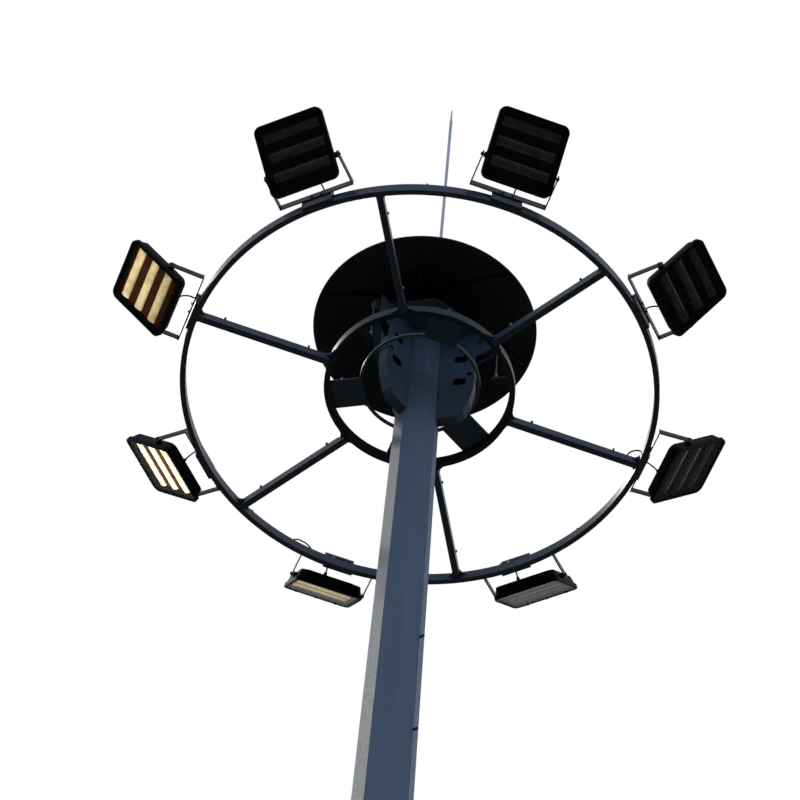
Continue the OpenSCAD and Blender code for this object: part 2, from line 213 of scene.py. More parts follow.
def set_sun():
    data = bpy.data.lights.new("left_sun", "SUN")
    data.energy = SUN_STRENGTH
    data.angle = SUN_SIZE
    data.color = SUN_COLOUR
    sun = bpy.data.objects.new("left_sun", data)
    bpy.context.scene.collection.objects.link(sun)
    flat = cos(SUN_HEIGHT)
    toward = Vector((cos(SUN_TURN) * flat, sin(SUN_TURN) * flat, sin(SUN_HEIGHT)))
    sun.rotation_euler = toward.to_track_quat("Z", "Y").to_euler()
    sun.location = toward * SUN_REACH


def lay_floor():
    bm = bmesh.new()
    bmesh.ops.create_circle(bm, cap_ends=True, segments=FLOOR_SIDES, radius=FLOOR_RADIUS)
    mesh = bpy.data.meshes.new("pale_floor")
    bm.to_mesh(mesh)
    bm.free()
    floor = bpy.data.objects.new("pale_floor", mesh)
    bpy.context.scene.collection.objects.link(floor)
    paint = bpy.data.materials.new("pale_floor")
    paint.use_nodes = True
    shader = paint.node_tree.nodes["Principled BSDF"]
    shader.inputs["Base Color"].default_value = FLOOR_COLOUR
    shader.inputs["Roughness"].default_value = FLOOR_ROUGHNESS
    shader.inputs["Emission Color"].default_value = FLOOR_LIFT
    shader.inputs["Emission Strength"].default_value = FLOOR_LIFT_STRENGTH
    nodes = paint.node_tree.nodes
    links = paint.node_tree.links
    side = nodes.new("ShaderNodeNewGeometry")
    clear = nodes.new("ShaderNodeBsdfTransparent")
    sides = nodes.new("ShaderNodeMixShader")
    links.new(side.outputs["Backfacing"], sides.inputs["Fac"])
    links.new(shader.outputs["BSDF"], sides.inputs[1])
    links.new(clear.outputs["BSDF"], sides.inputs[2])
    links.new(sides.outputs["Shader"], nodes["Material Output"].inputs["Surface"])
    mesh.materials.append(paint)


bpy.context.scene.view_settings.view_transform = "Standard"
set_world()
set_sun()
lay_floor()


# Finishes

STREAK_STRETCH = (1, 1, 0.08)
STREAK_DETAIL = 6
STREAK_ROUGHNESS = 0.6
STREAK_BAND = (0.42, 0.72)
GRAIN_DETAIL = 3
RELIEF_DEPTH = 0.002


def weather_group():
    group = bpy.data.node_groups.new("weathered_paint", "ShaderNodeTree")
    face = group.interface
    for tone in ("Paint", "Dust"):
        face.new_socket(tone, in_out="INPUT", socket_type="NodeSocketColor")
    for amount in ("Dust Amount", "Streak Scale", "Grain Scale", "Gloss Low", "Gloss High"):
        face.new_socket(amount, in_out="INPUT", socket_type="NodeSocketFloat")
    face.new_socket("Color", in_out="OUTPUT", socket_type="NodeSocketColor")
    for amount in ("Roughness", "Height"):
        face.new_socket(amount, in_out="OUTPUT", socket_type="NodeSocketFloat")
    nodes = group.nodes
    links = group.links
    take = nodes.new("NodeGroupInput")
    give = nodes.new("NodeGroupOutput")
    coords = nodes.new("ShaderNodeTexCoord")
    stretch = nodes.new("ShaderNodeMapping")
    stretch.inputs["Scale"].default_value = STREAK_STRETCH
    streak = nodes.new("ShaderNodeTexNoise")
    streak.inputs["Detail"].default_value = STREAK_DETAIL
    streak.inputs["Roughness"].default_value = STREAK_ROUGHNESS
    grain = nodes.new("ShaderNodeTexNoise")
    grain.inputs["Detail"].default_value = GRAIN_DETAIL
    band = nodes.new("ShaderNodeMapRange")
    band.inputs["From Min"].default_value = STREAK_BAND[0]
    band.inputs["From Max"].default_value = STREAK_BAND[1]
    amount = nodes.new("ShaderNodeMath")
    amount.operation = "MULTIPLY"
    tint = nodes.new("ShaderNodeMix")
    tint.data_type = "RGBA"
    gloss = nodes.new("ShaderNodeMapRange")
    links.new(coords.outputs["Object"], stretch.inputs["Vector"])
    links.new(stretch.outputs["Vector"], streak.inputs["Vector"])
    links.new(take.outputs["Streak Scale"], streak.inputs["Scale"])
    links.new(coords.outputs["Object"], grain.inputs["Vector"])
    links.new(take.outputs["Grain Scale"], grain.inputs["Scale"])
    links.new(streak.outputs["Fac"], band.inputs["Value"])
    links.new(band.outputs["Result"], amount.inputs[0])
    links.new(take.outputs["Dust Amount"], amount.inputs[1])
    links.new(amount.outputs[0], tint.inputs["Factor"])
    links.new(take.outputs["Paint"], tint.inputs["A"])
    links.new(take.outputs["Dust"], tint.inputs["B"])
    links.new(tint.outputs["Result"], give.inputs["Color"])
    links.new(grain.outputs["Fac"], gloss.inputs["Value"])
    links.new(take.outputs["Gloss Low"], gloss.inputs["To Min"])
    links.new(take.outputs["Gloss High"], gloss.inputs["To Max"])
    links.new(gloss.outputs["Result"], give.inputs["Roughness"])
    links.new(grain.outputs["Fac"], give.inputs["Height"])
    return group


WEATHER = weather_group()


def add_weather(finish, paint, dust, dust_amount, scales, gloss):
    weather = finish.node_tree.nodes.new("ShaderNodeGroup")
    weather.node_tree = WEATHER
    weather.inputs["Paint"].default_value = (*paint, 1)
    weather.inputs["Dust"].default_value = (*dust, 1)
    weather.inputs["Dust Amount"].default_value = dust_amount
    weather.inputs["Streak Scale"].default_value = scales[0]
    weather.inputs["Grain Scale"].default_value = scales[1]
    weather.inputs["Gloss Low"].default_value = gloss[0]
    weather.inputs["Gloss High"].default_value = gloss[1]
    shader = finish.node_tree.nodes["Principled BSDF"]
    links = finish.node_tree.links
    links.new(weather.outputs["Color"], shader.inputs["Base Color"])
    links.new(weather.outputs["Roughness"], shader.inputs["Roughness"])
    return weather.outputs["Height"]


def painted(name, paint, dust, dust_amount, scales, gloss, bump, specular, metallic=0.0):
    finish = bpy.data.materials.new(name)
    finish.use_nodes = True
    nodes = finish.node_tree.nodes
    links = finish.node_tree.links
    shader = nodes["Principled BSDF"]
    height = add_weather(finish, paint, dust, dust_amount, scales, gloss)
    relief = nodes.new("ShaderNodeBump")
    relief.inputs["Strength"].default_value = bump
    relief.inputs["Distance"].default_value = RELIEF_DEPTH
    links.new(height, relief.inputs["Height"])
    links.new(relief.outputs["Normal"], shader.inputs["Normal"])
    shader.inputs["Specular IOR Level"].default_value = specular
    shader.inputs["Metallic"].default_value = metallic
    return finish


MAST_PAINT = painted(
    "mast_paint", paint=(0.30, 0.33, 0.34), dust=(0.42, 0.41, 0.36), dust_amount=0.55,
    scales=(5.0, 60.0), gloss=(0.45, 0.65), bump=0.12, specular=0.12)
HEAD_PAINT = painted(
    "head_paint", paint=(0.105, 0.13, 0.155), dust=(0.12, 0.12, 0.13), dust_amount=0.4,
    scales=(7.0, 60.0), gloss=(0.45, 0.65), bump=0.12, specular=0.2)
HOOD_PAINT = painted(
    "hood_paint", paint=(0.062, 0.064, 0.070), dust=(0.105, 0.106, 0.110), dust_amount=0.5,
    scales=(9.0, 70.0), gloss=(0.6, 0.8), bump=0.1, specular=0.06)
CARRIAGE_PAINT = painted(
    "carriage_paint", paint=(0.082, 0.104, 0.138), dust=(0.10, 0.112, 0.128), dust_amount=0.35,
    scales=(14.0, 90.0), gloss=(0.3, 0.45), bump=0.06, specular=0.16)
# Painted shade: the carriage paint made darker for the inner ring, docking posts and rope lugs,
# standing in for the shade under the hood
INNER_SHADED_PAINT = painted(
    "inner_shaded_paint", paint=(0.036, 0.042, 0.052), dust=(0.05, 0.052, 0.056), dust_amount=0.35,
    scales=(14.0, 90.0), gloss=(0.35, 0.5), bump=0.06, specular=0.14)
GUIDE_STEEL = painted(
    "guide_steel", paint=(0.13, 0.135, 0.14), dust=(0.07, 0.07, 0.07), dust_amount=0.5,
    scales=(20.0, 120.0), gloss=(0.3, 0.5), bump=0.08, specular=0.3)
HOOD_EDGE = painted(
    "hood_edge", paint=(0.06, 0.07, 0.075), dust=(0.09, 0.09, 0.09), dust_amount=0.4,
    scales=(20.0, 120.0), gloss=(0.4, 0.6), bump=0.08, specular=0.3)
STIRRUP_PAINT = painted(
    "stirrup_paint", paint=(0.048, 0.055, 0.064), dust=(0.07, 0.07, 0.07), dust_amount=0.4,
    scales=(18.0, 120.0), gloss=(0.3, 0.5), bump=0.08, specular=0.2)
HOUSING_COAT = painted(
    "housing_coat", paint=(0.006, 0.0065, 0.009), dust=(0.012, 0.012, 0.013), dust_amount=0.4,
    scales=(20.0, 110.0), gloss=(0.62, 0.74), bump=0.02, specular=0.10)
SHEAVE_IRON = painted(
    "sheave_iron", paint=(0.05, 0.052, 0.056), dust=(0.10, 0.07, 0.05), dust_amount=0.5,
    scales=(30.0, 150.0), gloss=(0.5, 0.7), bump=0.2, specular=0.3, metallic=0.6)
ROD_STEEL = painted(
    "rod_steel", paint=(0.72, 0.74, 0.78), dust=(0.55, 0.55, 0.55), dust_amount=0.4,
    scales=(12.0, 200.0), gloss=(0.35, 0.55), bump=0.1, specular=0.4, metallic=0.2)
ROPE_STEEL = painted(
    "rope_steel", paint=(0.10, 0.10, 0.10), dust=(0.05, 0.045, 0.04), dust_amount=0.6,
    scales=(60.0, 500.0), gloss=(0.35, 0.6), bump=0.3, specular=0.4, metallic=0.7)
BLACK_STEEL = painted(
    "black_steel", paint=(0.018, 0.018, 0.020), dust=(0.03, 0.03, 0.03), dust_amount=0.4,
    scales=(60.0, 300.0), gloss=(0.4, 0.6), bump=0.05, specular=0.2)
ZINC = painted(
    "zinc_bolts", paint=(0.16, 0.17, 0.18), dust=(0.09, 0.08, 0.07), dust_amount=0.5,
    scales=(60.0, 300.0), gloss=(0.35, 0.55), bump=0.1, specular=0.4, metallic=0.6)
LEAD_RUBBER = painted(
    "lead_rubber", paint=(0.010, 0.010, 0.011), dust=(0.03, 0.03, 0.03), dust_amount=0.4,
    scales=(40.0, 500.0), gloss=(0.6, 0.8), bump=0.1, specular=0.2)
# Painted shade: the mast paint turns darker from SHADE_LOW up to SHADE_HIGH, standing in for the shadow
# of the hood and head on the mast top
SHADE_LOW = 18.95
SHADE_HIGH = 19.40
HEAD_PAINTED_SHADE = (0.18, 0.205, 0.225)


# Mixes the mast colour towards a dark tone with height; this darkening is painted shade
def paint_shade_upward(finish, dark):
    nodes = finish.node_tree.nodes
    links = finish.node_tree.links
    shader = nodes["Principled BSDF"]
    unshaded = shader.inputs["Base Color"].links[0].from_socket
    coords = nodes.new("ShaderNodeTexCoord")
    split = nodes.new("ShaderNodeSeparateXYZ")
    climb = nodes.new("ShaderNodeMapRange")
    climb.inputs["From Min"].default_value = SHADE_LOW
    climb.inputs["From Max"].default_value = SHADE_HIGH
    painted_shade_mix = nodes.new("ShaderNodeMix")
    painted_shade_mix.data_type = "RGBA"
    painted_shade_mix.inputs["B"].default_value = (*dark, 1)
    links.new(coords.outputs["Object"], split.inputs[0])
    links.new(split.outputs["Z"], climb.inputs["Value"])
    links.new(climb.outputs["Result"], painted_shade_mix.inputs["Factor"])
    links.new(unshaded, painted_shade_mix.inputs["A"])
    links.new(painted_shade_mix.outputs["Result"], shader.inputs["Base Color"])


paint_shade_upward(MAST_PAINT, HEAD_PAINTED_SHADE)


GLASS_CLEAN = (0.018, 0.020, 0.022)
GLASS_DUST = (0.060, 0.056, 0.048)
GLASS_DUST_AMOUNT = 0.6
GLASS_SCALES = (18.0, 30.0)
GLASS_GLOSS = (0.03, 0.10)
GLASS_SPECULAR = 0.35
GLASS_ALPHA = 0.16


def lamp_glass():
    finish = bpy.data.materials.new("lamp_glass")
    finish.use_nodes = True
    add_weather(finish, GLASS_CLEAN, GLASS_DUST, GLASS_DUST_AMOUNT, GLASS_SCALES, GLASS_GLOSS)
    shader = finish.node_tree.nodes["Principled BSDF"]
    shader.inputs["Specular IOR Level"].default_value = GLASS_SPECULAR
    shader.inputs["Alpha"].default_value = GLASS_ALPHA
    return finish


STRIP_BLOTCH = 24.0
STRIP_DETAIL = 4.0
STRIP_STEPS = (0.35, 0.62)
STRIP_TONES = ((0.105, 0.088, 0.062, 1), (0.160, 0.145, 0.112, 1))
STRIP_ROUGHNESS = 0.22
STRIP_SPECULAR = 0.5


def strip_cream():
    finish = bpy.data.materials.new("strip_cream")
    finish.use_nodes = True
    nodes = finish.node_tree.nodes
    links = finish.node_tree.links
    shader = nodes["Principled BSDF"]
    coords = nodes.new("ShaderNodeTexCoord")
    blotch = nodes.new("ShaderNodeTexNoise")
    blotch.inputs["Scale"].default_value = STRIP_BLOTCH
    blotch.inputs["Detail"].default_value = STRIP_DETAIL
    tone = nodes.new("ShaderNodeValToRGB")
    set_ramp(tone.color_ramp, STRIP_STEPS, STRIP_TONES)
    links.new(coords.outputs["Object"], blotch.inputs["Vector"])
    links.new(blotch.outputs["Fac"], tone.inputs["Fac"])
    links.new(tone.outputs["Color"], shader.inputs["Base Color"])
    shader.inputs["Roughness"].default_value = STRIP_ROUGHNESS
    shader.inputs["Specular IOR Level"].default_value = STRIP_SPECULAR
    return finish


GLASS = lamp_glass()
STRIP = strip_cream()
TRAY = painted(
    "reflector_tray", paint=(0.0042, 0.0013, 0.0006), dust=(0.012, 0.0040, 0.0013), dust_amount=0.5,
    scales=(16.0, 80.0), gloss=(0.5, 0.7), bump=0.1, specular=0.01)


def dress(node, finish):
    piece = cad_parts[node]
    piece.data.materials.clear()
    piece.data.materials.append(finish)


COATS = (
    (MAST_PAINT, ("base_flange", "base_gussets", "mast_lower", "mast_middle", "mast_upper")),
    (MAST_PAINT, ("door_frame", "access_door")),
    (HEAD_PAINT, ("head_cheeks", "head_plate", "hood_post", "finial_cap")),
    (HOOD_PAINT, ("hood",)),
    (HOOD_EDGE, ("hood_arms",)),
    (CARRIAGE_PAINT, ("lamp_ring", "spokes", "bridge_plates", "lamp_pads")),
    (INNER_SHADED_PAINT, ("inner_ring", "docking_posts", "rope_lugs")),
    (GUIDE_STEEL, ("guide_ring",)),
    (STIRRUP_PAINT, ("stirrups",)),
    (SHEAVE_IRON, ("sheaves",)),
    (ROD_STEEL, ("lightning_rod",)),
    (ROPE_STEEL, ("hoist_ropes",)),
)
LIGHTS = range(1, LIGHT_COUNT + 1)

for finish, coated in COATS:
    for node in coated:
        dress(node, finish)
for light in LIGHTS:
    dress(f"housing_{light}", HOUSING_COAT)
    dress(f"glass_{light}", GLASS)


# Shaping helpers

LIE_ALONG_Y = Matrix.Rotation(pi / 2, 4, "X")
LIE_ALONG_X = Matrix.Rotation(pi / 2, 4, "Y")
CREASE = radians(35)
HEX_SIDES = 6
SMALL_SIDES = 12
BAR_SIDES = 16
ROD_SIDES = 20
DISC_SIDES = 24
FINE_BEVEL = 0.0008
SMALL_BEVEL = 0.001
FITTING_BEVEL = 0.0015
CLIP_BEVEL = 0.0025
SPOKE_CLIP_BEVEL = 0.003
ROUND_PROFILE = 0.5
RING_STEPS = 144
MERGE_DISTANCE = 1e-6
TUBE_RESOLUTION = 4
PATH_ORDER = 4
PATH_RESOLUTION = 6


def share_turn(index, count, start=0.0):
    return Matrix.Rotation(start + index * 2 * pi / count, 4, "Z")


def block(bm, size, place):
    bmesh.ops.create_cube(bm, size=1.0, matrix=place @ Matrix.Diagonal((*size, 1)))


def round_bar(bm, radius, length, place, sides, end_radius=None):
    tip = radius if end_radius is None else end_radius
    bmesh.ops.create_cone(
        bm, cap_ends=True, segments=sides, radius1=radius, radius2=tip, depth=length, matrix=place)


def round_ring(bm, radius, height, tube, sides):
    across = Matrix.Translation((radius, 0, height)) @ LIE_ALONG_Y
    bmesh.ops.create_circle(bm, segments=sides, radius=tube, matrix=across)
    bmesh.ops.spin(
        bm, geom=bm.verts[:] + bm.edges[:], cent=(0, 0, 0), axis=(0, 0, 1), angle=2 * pi,
        steps=RING_STEPS, use_merge=True)
    bmesh.ops.remove_doubles(bm, verts=bm.verts, dist=MERGE_DISTANCE)


def soften(bm, width, segments=2):
    sharp = [edge for edge in bm.edges if edge.is_manifold and edge.calc_face_angle(0) > CREASE]
    bmesh.ops.bevel(
        bm, geom=sharp, offset=width, offset_type="OFFSET", segments=segments,
        profile=ROUND_PROFILE, affect="EDGES", material=-1, clamp_overlap=True)


def smooth(mesh):
    for face in mesh.polygons:
        face.use_smooth = True


def finish_mesh(name, bm, finish):
    bmesh.ops.recalc_face_normals(bm, faces=bm.faces)
    mesh = bpy.data.meshes.new(name)
    bm.to_mesh(mesh)
    bm.free()
    mesh.materials.append(finish)
    piece = bpy.data.objects.new(name, mesh)
    bpy.context.scene.collection.objects.link(piece)
    return piece


def add_piece(name, bm, finish, body):
    piece = finish_mesh(name, bm, finish)
    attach(piece, body)
    return piece


def sweep(name, points, radius, finish):
    data = bpy.data.curves.new(name, "CURVE")
    data.dimensions = "3D"
    data.bevel_depth = radius
    data.bevel_resolution = TUBE_RESOLUTION
    data.use_fill_caps = True
    spline = data.splines.new("NURBS")
    spline.points.add(len(points) - 1)
    for knot, point in zip(spline.points, points):
        knot.co = (*point, 1)
    spline.use_endpoint_u = True
    spline.order_u = PATH_ORDER
    spline.resolution_u = PATH_RESOLUTION
    guide = bpy.data.objects.new(name + "_path", data)
    bpy.context.scene.collection.objects.link(guide)
    bpy.context.view_layer.update()
    solved = guide.evaluated_get(bpy.context.evaluated_depsgraph_get())
    mesh = bpy.data.meshes.new_from_object(solved)
    bpy.data.objects.remove(guide)
    bpy.data.curves.remove(data)
    mesh.name = name
    mesh.materials.clear()
    mesh.materials.append(finish)
    smooth(mesh)
    piece = bpy.data.objects.new(name, mesh)
    bpy.context.scene.collection.objects.link(piece)
    return piece


def light_frame(light):
    return share_turn(light - 1, LIGHT_COUNT, LIGHT_TURN) @ Matrix.Translation((0, 0, RING_Z))


def lamp_frame(light):
    pivot = Matrix.Translation((PIVOT_RADIUS, 0, PIVOT_RISE))
    tilt = Matrix.Rotation(-LIGHT_TILT, 4, "Y")
    return light_frame(light) @ pivot @ tilt @ Matrix.Translation((LAMP_AHEAD, 0, 0))


# Light strips and trays inside the floodlights

STRIP_OFFSETS = (-0.085, 0.018, 0.121)
STRIP_LONG = 0.300
STRIP_WIDE = 0.052
STRIP_TALL = 0.012
STRIP_SIDES = 36
CUT_DISTANCE = 1e-5
UNIT_RADIUS = 0.5
TRAY_TALL = 0.003
TRAY_PLAY = 0.002


def fit_strips(light):
    place = lamp_frame(light)
    bm = bmesh.new()
    seat = place @ Matrix.Translation((0, 0, CHAMBER_FLOOR - TRAY_TALL))
    dome = LIE_ALONG_Y @ Matrix.Diagonal((STRIP_WIDE, 2 * STRIP_TALL, STRIP_LONG, 1))
    for offset in STRIP_OFFSETS:
        spot = Matrix.Translation((offset, 0, 0))
        round_bar(bm, UNIT_RADIUS, 1.0, seat @ spot @ dome, STRIP_SIDES)
    bmesh.ops.bisect_plane(
        bm, geom=bm.verts[:] + bm.edges[:] + bm.faces[:], dist=CUT_DISTANCE, plane_co=seat.translation,
        plane_no=seat.to_3x3() @ Vector((0, 0, 1)), clear_outer=True)
    bmesh.ops.holes_fill(bm, edges=[edge for edge in bm.edges if edge.is_boundary], sides=0)
    strips = add_piece(f"light_strips_{light}", bm, STRIP, f"floodlight_{light}")
    smooth(strips.data)
    strips.data.set_sharp_from_angle(angle=CREASE)
    bm = bmesh.new()
    floor = Matrix.Translation((0, 0, CHAMBER_FLOOR - TRAY_TALL / 2))
    block(bm, (CHAMBER_L - TRAY_PLAY, CHAMBER_W - TRAY_PLAY, TRAY_TALL), place @ floor)
    soften(bm, SMALL_BEVEL, 1)
    tray = add_piece(f"reflector_tray_{light}", bm, TRAY, f"floodlight_{light}")
    return strips, tray


fitted = {light: fit_strips(light) for light in LIGHTS}


# Low daylight that reaches the strips of the left floodlights

GLOW_POWERS = {3: 27000.0, 4: 190000.0, 5: 122000.0}
GLOW_COLOURS = {3: (1.0, 0.79, 0.41), 4: (1.0, 0.95, 0.80), 5: (1.0, 0.87, 0.60)}
GLOW_OUTWARD = {3: 0.0, 4: 0.0, 5: 0.14}
GLOW_WIDTHS = {3: radians(4.0), 4: radians(4.0), 5: radians(3.0)}
GLOW_BLEND = 1.0
GLOW_REACH = 8.0
GLOW_SIZE = 0.3


def set_ground_glow(light, receivers):
    place = lamp_frame(light)
    data = bpy.data.lights.new(f"ground_glow_{light}", "SPOT")
    data.energy = GLOW_POWERS[light]
    data.color = GLOW_COLOURS[light]
    data.spot_size = GLOW_WIDTHS[light]
    data.spot_blend = GLOW_BLEND
    data.shadow_soft_size = GLOW_SIZE
    glow = bpy.data.objects.new(f"ground_glow_{light}", data)
    bpy.context.scene.collection.objects.link(glow)
    below = Matrix.Translation((GLOW_OUTWARD[light], 0, -GLOW_REACH))
    glow.matrix_world = place @ below @ Matrix.Rotation(pi, 4, "X")
    lit = bpy.data.collections.new(f"glow_receivers_{light}")
    for piece in receivers:
        lit.objects.link(piece)
    glow.light_linking.receiver_collection = lit


for light in GLOW_POWERS:
    set_ground_glow(light, fitted[light])


# Screws and pivot bolts

SCREW_RADIUS = 0.0045
SCREW_TALL = 0.003
SCREW_STEPS = (-0.11, 0.0, 0.11)
SCREW_ACROSS = 0.1815
SCREW_ALONG = 0.1765
PIVOT_HEAD = 0.0075
PIVOT_HEAD_TALL = 0.0045
PIVOT_WASHER = 0.0105
WASHER_TALL = 0.002
PAD_BOLT_OFFSETS = (-0.026, 0.026)
PAD_HEAD = 0.008
PAD_HEAD_TALL = 0.005


def drive_bezel_screws(light):
    place = lamp_frame(light)
    bm = bmesh.new()
    for step in SCREW_STEPS:
        for side in (-1, 1):
            for across, along in ((side * SCREW_ACROSS, step), (step, side * SCREW_ALONG)):
                spot = Matrix.Translation((across, along, -FACE_DROP - SCREW_TALL / 2))
                round_bar(bm, SCREW_RADIUS, SCREW_TALL, place @ spot, SMALL_SIDES)
    soften(bm, FINE_BEVEL)
    add_piece(f"bezel_screws_{light}", bm, BLACK_STEEL, f"floodlight_{light}")


def drive_stirrup_bolts():
    bm = bmesh.new()
    for light in LIGHTS:
        place = light_frame(light)
        for side in (-1, 1):
            washer_y = side * (STIRRUP_HALF + BAR_THICK + WASHER_TALL / 2)
            head_y = side * (STIRRUP_HALF + BAR_THICK + WASHER_TALL + PIVOT_HEAD_TALL / 2)
            washer = Matrix.Translation((PIVOT_RADIUS, washer_y, PIVOT_RISE)) @ LIE_ALONG_Y
            head = Matrix.Translation((PIVOT_RADIUS, head_y, PIVOT_RISE)) @ LIE_ALONG_Y
            round_bar(bm, PIVOT_WASHER, WASHER_TALL, place @ washer, ROD_SIDES)
            round_bar(bm, PIVOT_HEAD, PIVOT_HEAD_TALL, place @ head, HEX_SIDES)
        for offset in PAD_BOLT_OFFSETS:
            head = Matrix.Translation((BAR_FACE + PAD_HEAD_TALL / 2, offset, BAR_RISE)) @ LIE_ALONG_X
            round_bar(bm, PAD_HEAD, PAD_HEAD_TALL, place @ head, HEX_SIDES)
    soften(bm, FINE_BEVEL)
    add_piece("stirrup_bolts", bm, STIRRUP_PAINT, "carriage")


for light in LIGHTS:
    drive_bezel_screws(light)
drive_stirrup_bolts()


# Supply leads and their glands

LEAD_RADIUS = 0.0040
LEAD_RING_Y = 0.035
LEAD_LAMP_Y = 0.035
LEAD_LAMP_X = -0.1405
LEAD_RISE = 0.040
LEAD_OVER = (0.035, 0.078)
LEAD_REACH = 0.060
LEAD_DROP = 0.034
GLAND_RADIUS = 0.011
GLAND_TALL = 0.022
GLAND_TAPER = 0.72


def run_lead(light):
    ring = light_frame(light)
    lamp = lamp_frame(light)
    start = ring @ Vector((RING_RADIUS, LEAD_RING_Y, RING_TOP))
    rise = ring @ Vector((RING_RADIUS, LEAD_RING_Y, RING_TOP + LEAD_RISE))
    over = ring @ Vector((RING_RADIUS + LEAD_OVER[0], LEAD_RING_Y, RING_TOP + LEAD_OVER[1]))
    reach = lamp @ Vector((LEAD_LAMP_X, LEAD_LAMP_Y, BODY_BACK + LEAD_REACH))
    drop = lamp @ Vector((LEAD_LAMP_X, LEAD_LAMP_Y, BODY_BACK + LEAD_DROP))
    end = lamp @ Vector((LEAD_LAMP_X, LEAD_LAMP_Y, BODY_BACK))
    points = (start, rise, over, reach, drop, end)
    lead = sweep(f"supply_lead_{light}", points, LEAD_RADIUS, LEAD_RUBBER)
    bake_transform(lead)
    bm = bmesh.new()
    collar = Matrix.Translation((LEAD_LAMP_X, LEAD_LAMP_Y, BODY_BACK + GLAND_TALL / 2))
    round_bar(bm, GLAND_RADIUS, GLAND_TALL, lamp @ collar, HEX_SIDES, GLAND_RADIUS * GLAND_TAPER)
    soften(bm, FITTING_BEVEL)
    add_piece(f"lamp_gland_{light}", bm, LEAD_RUBBER, f"floodlight_{light}")


RING_CABLE_RADIUS = 0.006
RING_CABLE_SIDES = 10
CLIP_COUNT = 16
CLIP_START = 0.5
CLIP_SIZE = (0.024, 0.012, 0.014)


def lay_ring_cable():
    bm = bmesh.new()
    height = RING_Z + RING_TOP + RING_CABLE_RADIUS
    round_ring(bm, RING_RADIUS, height, RING_CABLE_RADIUS, RING_CABLE_SIDES)
    cable = add_piece("ring_cable", bm, LEAD_RUBBER, "carriage")
    smooth(cable.data)
    bm = bmesh.new()
    spot = Matrix.Translation((RING_RADIUS, 0, RING_Z + RING_TOP + CLIP_SIZE[2] / 2))
    for clip in range(CLIP_COUNT):
        block(bm, CLIP_SIZE, share_turn(clip + CLIP_START, CLIP_COUNT) @ spot)
    foot = Matrix.Translation((RING_RADIUS, LEAD_RING_Y, RING_TOP + GLAND_TALL / 2))
    for light in LIGHTS:
        round_bar(bm, GLAND_RADIUS, GLAND_TALL, light_frame(light) @ foot, HEX_SIDES)
    soften(bm, CLIP_BEVEL)
    add_piece("cable_clips", bm, ZINC, "carriage")


# Slack in the supply cable: start and end as radius and turn, and the loop's height
SLACK_LOOPS = (
    ((1.200, radians(133.2)), (1.200, radians(127.4)), 0.050),
    ((1.128, radians(29.4)), (1.196, radians(27.3)), 0.036),
)
SLACK_STEPS = 8
SLACK_RADIUS = 0.0040
SPOKE_TURN = radians(30)
SPOKE_COUNT = 6
SPOKE_HALF = 0.017
SPOKE_TOP = 0.023
SPOKE_CLIP = (0.012, 0.046, 0.014)
SPOKE_CLIP_RADII = (0.604, 1.05)


def leave_slack(loop):
    start, end, tall = SLACK_LOOPS[loop]
    points = []
    for step in range(SLACK_STEPS + 1):
        share = step / SLACK_STEPS
        radius = start[0] + (end[0] - start[0]) * (1 - cos(pi * share)) / 2
        turn = start[1] + (end[1] - start[1]) * (1 - cos(pi * share)) / 2
        height = RING_Z + SPOKE_TOP + tall * sin(pi * share)
        points.append(Vector((radius * cos(turn), radius * sin(turn), height)))
    slack = sweep(f"cable_slack_{loop + 1}", points, SLACK_RADIUS, LEAD_RUBBER)
    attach(slack, "carriage")


def clip_spokes():
    bm = bmesh.new()
    for spoke in range(SPOKE_COUNT):
        turn = share_turn(spoke, SPOKE_COUNT, SPOKE_TURN)
        for radius in SPOKE_CLIP_RADII:
            spot = Matrix.Translation((radius, 0, RING_Z + SPOKE_TOP + SPOKE_CLIP[2] / 2))
            block(bm, SPOKE_CLIP, turn @ spot)
    soften(bm, SPOKE_CLIP_BEVEL)
    add_piece("spoke_clips", bm, ZINC, "carriage")


GUSSET_LEG = 0.045
GUSSET_TALL = 0.010
GUSSET_LOW = 0.004
GUSSET_BITE = 0.004
GUSSET_STEPS = 6
SPOKE_ENDS = ((1.186, 1), (0.485, -1))


def gusset_outline():
    outline = [(GUSSET_BITE, -GUSSET_BITE)]
    for step in range(GUSSET_STEPS + 1):
        bend = pi / 2 * step / GUSSET_STEPS
        outline.append((-GUSSET_LEG * (1 - sin(bend)), GUSSET_LEG * (1 - cos(bend))))
    outline.append((GUSSET_BITE, GUSSET_LEG))
    return outline


def weld_spoke_gussets():
    bm = bmesh.new()
    low = RING_Z + GUSSET_LOW
    for spoke in range(SPOKE_COUNT):
        turn = share_turn(spoke, SPOKE_COUNT, SPOKE_TURN)
        for radius, outward in SPOKE_ENDS:
            for side in (-1, 1):
                corners = []
                for along, off in gusset_outline():
                    corner = Vector((radius + outward * along, side * (SPOKE_HALF + off), low))
                    corners.append(bm.verts.new(turn @ corner))
                foot = bm.faces.new(corners)
                top = bmesh.ops.extrude_face_region(bm, geom=[foot])["geom"]
                raised = [part for part in top if isinstance(part, bmesh.types.BMVert)]
                bmesh.ops.translate(bm, verts=raised, vec=(0, 0, GUSSET_TALL))
    add_piece("spoke_gussets", bm, CARRIAGE_PAINT, "carriage")


for light in LIGHTS:
    run_lead(light)
lay_ring_cable()
for loop in range(len(SLACK_LOOPS)):
    leave_slack(loop)
clip_spokes()
weld_spoke_gussets()


# Head, hood and lightning rod

BEAD_RADIUS = 0.005
BEAD_SIDES = 12
BEAD_BITE = 0.002
AXLE_NUT = 0.020
AXLE_NUT_TALL = 0.010


def roll_hood_bead():
    bm = bmesh.new()
    height = RING_Z + HOOD_RISE + BEAD_RADIUS
    round_ring(bm, HOOD_RADIUS - BEAD_BITE, height, BEAD_RADIUS, BEAD_SIDES)
    bead = add_piece("hood_bead", bm, HOOD_EDGE, "mast")
    smooth(bead.data)


